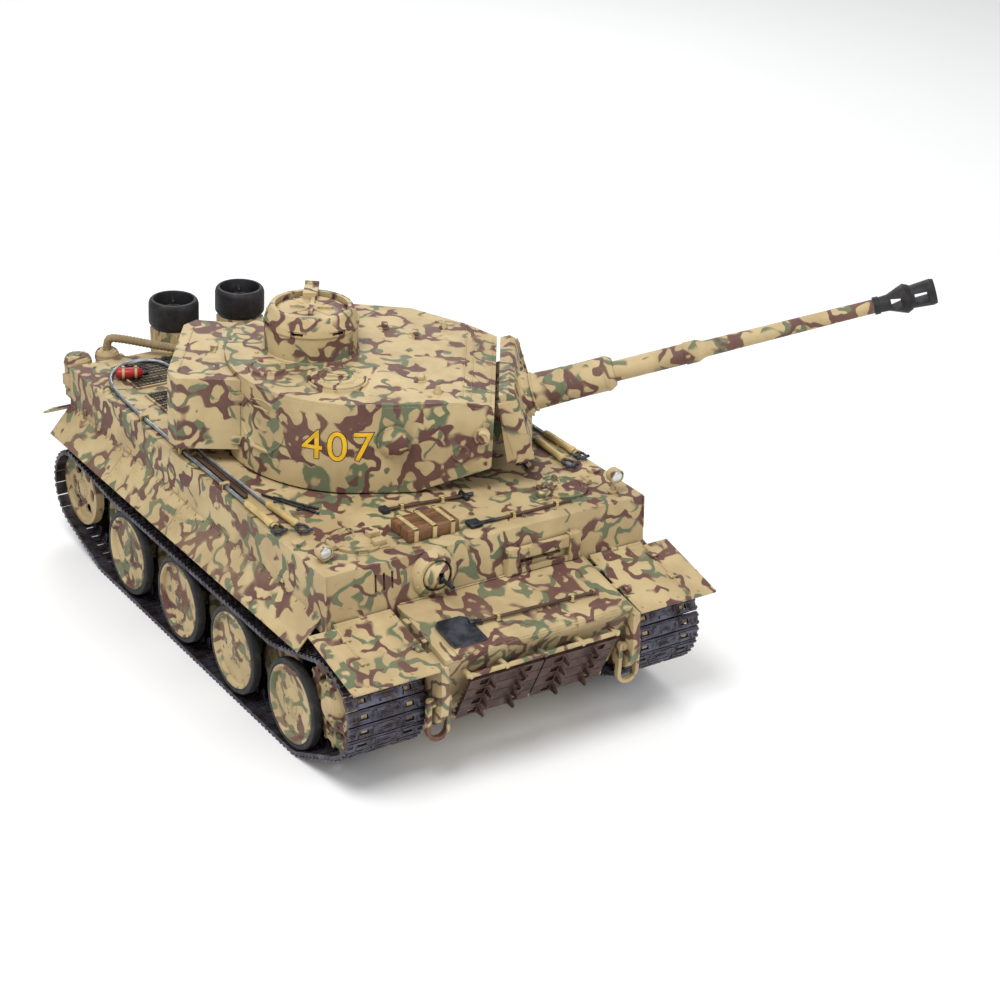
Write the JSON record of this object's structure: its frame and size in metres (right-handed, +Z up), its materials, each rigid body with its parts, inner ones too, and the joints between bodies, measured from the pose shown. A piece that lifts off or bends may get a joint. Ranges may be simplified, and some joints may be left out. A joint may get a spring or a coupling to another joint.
{
  "type": "radio-controlled tank",
  "caption": "Radio-controlled scale tank: tracked hull with interleaved road wheels, turning turret, long elevating gun, opening hatches and stowed tools.",
  "frame": {"origin": "on the ground under the axis of the turret", "axes": "+X towards the front, +Y to the tank's left, +Z up"},
  "size_m": [0.3917, 0.3743, 0.2237],
  "materials": {
    "camo_paint": "matt sprayed paint in three colours",
    "road_wheel": "matt paint on the disc, black rubber tyre",
    "track_steel": "dark weathered cast links",
    "suspension_steel": "matt sand paint",
    "gun_steel": "matt sprayed paint",
    "black_metal": "sooty matt black",
    "cable_steel": "bright twisted wire",
    "wood": "stained wood, steel fittings",
    "red_paint": "gloss red",
    "hose_rubber": "matt ribbed hose",
    "lamp": "matt paint with clear lens",
    "battery_sleeve": "shrink sleeve",
    "circuit_board": "solder resist",
    "gear_plastic": "moulded black"
  },
  "bodies": {
    "hull": {"lower_hull": "camo_paint", "upper_hull": "camo_paint", "glacis_plate": "camo_paint", "engine_deck": "camo_paint", "side_skirt_right": "camo_paint", "side_skirt_left": "camo_paint", "hull_fittings": "camo_paint", "air_filters": "camo_paint", "track_right": "track_steel", "track_left": "track_steel", "spare_track_links": "track_steel", "swing_arms": "suspension_steel", "exhausts": "black_metal", "tow_cable_right": "cable_steel", "tow_cable_left": "cable_steel", "jack_block": "wood", "hand_tools": "wood", "fire_extinguisher": "red_paint", "filter_hoses": "hose_rubber", "headlamps": "lamp", "battery_pack": "battery_sleeve", "control_board": "circuit_board", "drive_units": "gear_plastic"},
    "road_wheel_right_1": {"road_wheel_right_1": "road_wheel"},
    "road_wheel_right_2": {"road_wheel_right_2": "road_wheel"},
    "road_wheel_right_3": {"road_wheel_right_3": "road_wheel"},
    "road_wheel_right_4": {"road_wheel_right_4": "road_wheel"},
    "road_wheel_right_5": {"road_wheel_right_5": "road_wheel"},
    "road_wheel_right_6": {"road_wheel_right_6": "road_wheel"},
    "road_wheel_right_7": {"road_wheel_right_7": "road_wheel"},
    "road_wheel_right_8": {"road_wheel_right_8": "road_wheel"},
    "road_wheel_left_1": {"road_wheel_left_1": "road_wheel"},
    "road_wheel_left_2": {"road_wheel_left_2": "road_wheel"},
    "road_wheel_left_3": {"road_wheel_left_3": "road_wheel"},
    "road_wheel_left_4": {"road_wheel_left_4": "road_wheel"},
    "road_wheel_left_5": {"road_wheel_left_5": "road_wheel"},
    "road_wheel_left_6": {"road_wheel_left_6": "road_wheel"},
    "road_wheel_left_7": {"road_wheel_left_7": "road_wheel"},
    "road_wheel_left_8": {"road_wheel_left_8": "road_wheel"},
    "sprocket_right": {"sprocket_right": "suspension_steel"},
    "idler_right": {"idler_right": "road_wheel"},
    "mudguard_right": {"mudguard_right": "camo_paint"},
    "hull_hatch_right": {"hull_hatch_right": "camo_paint"},
    "sprocket_left": {"sprocket_left": "suspension_steel"},
    "idler_left": {"idler_left": "road_wheel"},
    "mudguard_left": {"mudguard_left": "camo_paint"},
    "hull_hatch_left": {"hull_hatch_left": "camo_paint"},
    "bow_gun_ball": {"bow_gun_ball": "camo_paint"},
    "bow_gun_barrel": {"bow_gun_barrel": "gun_steel"},
    "visor_slide": {"visor_slide": "camo_paint"},
    "turret_pinion": {"turret_pinion": "gear_plastic"},
    "turret": {"turret_shell": "camo_paint", "turret_roof": "camo_paint", "cupola": "camo_paint", "stowage_bin": "camo_paint"},
    "cupola_hatch": {"cupola_hatch": "camo_paint"},
    "loader_hatch": {"loader_hatch": "camo_paint"},
    "gun_cradle": {"gun_mantlet": "gun_steel"},
    "gun_barrel": {"gun_barrel": "gun_steel", "muzzle_brake": "gun_steel"}
  },
  "joints": [
    {"name": "sprocket_right_turn", "type": "hinge", "parent": "hull", "child": "sprocket_right", "pos_m": [0.152, -0.0882, 0.044], "axis": [0, 1, 0], "continuous": true, "deforming": ["track_right"]},
    {"name": "idler_right_turn", "type": "hinge", "parent": "hull", "child": "idler_right", "pos_m": [-0.15, -0.0882, 0.037], "axis": [0, 1, 0], "continuous": true},
    {"name": "road_wheel_right_1_turn", "type": "hinge", "parent": "hull", "child": "road_wheel_right_1", "pos_m": [0.1169, -0.0882, 0.0282], "axis": [0, 1, 0], "continuous": true},
    {"name": "road_wheel_right_2_turn", "type": "hinge", "parent": "hull", "child": "road_wheel_right_2", "pos_m": [0.0847, -0.0882, 0.0282], "axis": [0, 1, 0], "continuous": true},
    {"name": "road_wheel_right_3_turn", "type": "hinge", "parent": "hull", "child": "road_wheel_right_3", "pos_m": [0.0525, -0.0882, 0.0282], "axis": [0, 1, 0], "continuous": true},
    {"name": "road_wheel_right_4_turn", "type": "hinge", "parent": "hull", "child": "road_wheel_right_4", "pos_m": [0.0203, -0.0882, 0.0282], "axis": [0, 1, 0], "continuous": true},
    {"name": "road_wheel_right_5_turn", "type": "hinge", "parent": "hull", "child": "road_wheel_right_5", "pos_m": [-0.0119, -0.0882, 0.0282], "axis": [0, 1, 0], "continuous": true},
    {"name": "road_wheel_right_6_turn", "type": "hinge", "parent": "hull", "child": "road_wheel_right_6", "pos_m": [-0.0441, -0.0882, 0.0282], "axis": [0, 1, 0], "continuous": true},
    {"name": "road_wheel_right_7_turn", "type": "hinge", "parent": "hull", "child": "road_wheel_right_7", "pos_m": [-0.0763, -0.0882, 0.0282], "axis": [0, 1, 0], "continuous": true},
    {"name": "road_wheel_right_8_turn", "type": "hinge", "parent": "hull", "child": "road_wheel_right_8", "pos_m": [-0.1085, -0.0882, 0.0282], "axis": [0, 1, 0], "continuous": true},
    {"name": "mudguard_right_lift", "type": "hinge", "parent": "hull", "child": "mudguard_right", "pos_m": [0.1387, -0.08, 0.082], "axis": [0, -1, 0], "range_deg": [0, 80]},
    {"name": "hull_hatch_right_open", "type": "hinge", "parent": "hull", "child": "hull_hatch_right", "pos_m": [0.1075, -0.0816, 0.1107], "axis": [1, 0, 0], "range_deg": [0, 95]},
    {"name": "sprocket_left_turn", "type": "hinge", "parent": "hull", "child": "sprocket_left", "pos_m": [0.152, 0.0882, 0.044], "axis": [0, 1, 0], "continuous": true, "deforming": ["track_left"]},
    {"name": "idler_left_turn", "type": "hinge", "parent": "hull", "child": "idler_left", "pos_m": [-0.15, 0.0882, 0.037], "axis": [0, 1, 0], "continuous": true},
    {"name": "road_wheel_left_1_turn", "type": "hinge", "parent": "hull", "child": "road_wheel_left_1", "pos_m": [0.1169, 0.0882, 0.0282], "axis": [0, 1, 0], "continuous": true},
    {"name": "road_wheel_left_2_turn", "type": "hinge", "parent": "hull", "child": "road_wheel_left_2", "pos_m": [0.0847, 0.0882, 0.0282], "axis": [0, 1, 0], "continuous": true},
    {"name": "road_wheel_left_3_turn", "type": "hinge", "parent": "hull", "child": "road_wheel_left_3", "pos_m": [0.0525, 0.0882, 0.0282], "axis": [0, 1, 0], "continuous": true},
    {"name": "road_wheel_left_4_turn", "type": "hinge", "parent": "hull", "child": "road_wheel_left_4", "pos_m": [0.0203, 0.0882, 0.0282], "axis": [0, 1, 0], "continuous": true},
    {"name": "road_wheel_left_5_turn", "type": "hinge", "parent": "hull", "child": "road_wheel_left_5", "pos_m": [-0.0119, 0.0882, 0.0282], "axis": [0, 1, 0], "continuous": true},
    {"name": "road_wheel_left_6_turn", "type": "hinge", "parent": "hull", "child": "road_wheel_left_6", "pos_m": [-0.0441, 0.0882, 0.0282], "axis": [0, 1, 0], "continuous": true},
    {"name": "road_wheel_left_7_turn", "type": "hinge", "parent": "hull", "child": "road_wheel_left_7", "pos_m": [-0.0763, 0.0882, 0.0282], "axis": [0, 1, 0], "continuous": true},
    {"name": "road_wheel_left_8_turn", "type": "hinge", "parent": "hull", "child": "road_wheel_left_8", "pos_m": [-0.1085, 0.0882, 0.0282], "axis": [0, 1, 0], "continuous": true},
    {"name": "mudguard_left_lift", "type": "hinge", "parent": "hull", "child": "mudguard_left", "pos_m": [0.1387, 0.08, 0.082], "axis": [0, -1, 0], "range_deg": [0, 80]},
    {"name": "hull_hatch_left_open", "type": "hinge", "parent": "hull", "child": "hull_hatch_left", "pos_m": [0.106, 0.0816, 0.1107], "axis": [-1, 0, 0], "range_deg": [0, 95]},
    {"name": "bow_gun_turn", "type": "hinge", "parent": "hull", "child": "bow_gun_ball", "pos_m": [0.1354, -0.036, 0.096], "axis": [0, 0, 1], "range_deg": [-12, 12]},
    {"name": "bow_gun_tip", "type": "hinge", "parent": "bow_gun_ball", "child": "bow_gun_barrel", "pos_m": [0.1354, -0.036, 0.096], "axis": [0, -1, 0], "range_deg": [-7, 10]},
    {"name": "visor_close", "type": "slide", "parent": "hull", "child": "visor_slide", "axis": [0, 0, -1], "range_m": [0, 0.004]},
    {"name": "turret_turn", "type": "hinge", "parent": "hull", "child": "turret", "pos_m": [0, 0, 0.11], "axis": [0, 0, 1], "continuous": true},
    {"name": "pinion_turn", "type": "hinge", "parent": "hull", "child": "turret_pinion", "pos_m": [-0.04333, 0, 0.107], "axis": [0, 0, 1], "continuous": true},
    {"name": "gun_elevate", "type": "hinge", "parent": "turret", "child": "gun_cradle", "pos_m": [0.0354, 0.04604, 0.1322], "axis": [0.8231, -0.5678, 0], "range_deg": [-14, 2]},
    {"name": "gun_recoil", "type": "slide", "parent": "gun_cradle", "child": "gun_barrel", "axis": [-0.5385, -0.7806, -0.3173], "range_m": [0, 0.01], "stiffness_N_per_m": 60, "springref_m": -0.02},
    {"name": "cupola_hatch_open", "type": "hinge", "parent": "turret", "child": "cupola_hatch", "pos_m": [-0.04477, -0.00678, 0.1894], "axis": [-0.5678, -0.8231, 0], "range_deg": [0, 95]},
    {"name": "loader_hatch_open", "type": "hinge", "parent": "turret", "child": "loader_hatch", "pos_m": [0.0194, -0.04497, 0.165], "axis": [0.8231, -0.5678, 0], "range_deg": [0, 100]}
  ],
  "couplings": [
    {"joint": "idler_right_turn", "follows": "sprocket_right_turn", "ratio": 1.0923},
    {"joint": "road_wheel_right_1_turn", "follows": "sprocket_right_turn", "ratio": 1.0096},
    {"joint": "road_wheel_right_2_turn", "follows": "sprocket_right_turn", "ratio": 1.0096},
    {"joint": "road_wheel_right_3_turn", "follows": "sprocket_right_turn", "ratio": 1.0096},
    {"joint": "road_wheel_right_4_turn", "follows": "sprocket_right_turn", "ratio": 1.0096},
    {"joint": "road_wheel_right_5_turn", "follows": "sprocket_right_turn", "ratio": 1.0096},
    {"joint": "road_wheel_right_6_turn", "follows": "sprocket_right_turn", "ratio": 1.0096},
    {"joint": "road_wheel_right_7_turn", "follows": "sprocket_right_turn", "ratio": 1.0096},
    {"joint": "road_wheel_right_8_turn", "follows": "sprocket_right_turn", "ratio": 1.0096},
    {"joint": "idler_left_turn", "follows": "sprocket_left_turn", "ratio": 1.0923},
    {"joint": "road_wheel_left_1_turn", "follows": "sprocket_left_turn", "ratio": 1.0096},
    {"joint": "road_wheel_left_2_turn", "follows": "sprocket_left_turn", "ratio": 1.0096},
    {"joint": "road_wheel_left_3_turn", "follows": "sprocket_left_turn", "ratio": 1.0096},
    {"joint": "road_wheel_left_4_turn", "follows": "sprocket_left_turn", "ratio": 1.0096},
    {"joint": "road_wheel_left_5_turn", "follows": "sprocket_left_turn", "ratio": 1.0096},
    {"joint": "road_wheel_left_6_turn", "follows": "sprocket_left_turn", "ratio": 1.0096},
    {"joint": "road_wheel_left_7_turn", "follows": "sprocket_left_turn", "ratio": 1.0096},
    {"joint": "road_wheel_left_8_turn", "follows": "sprocket_left_turn", "ratio": 1.0096},
    {"joint": "pinion_turn", "follows": "turret_turn", "ratio": 6}
  ]
}
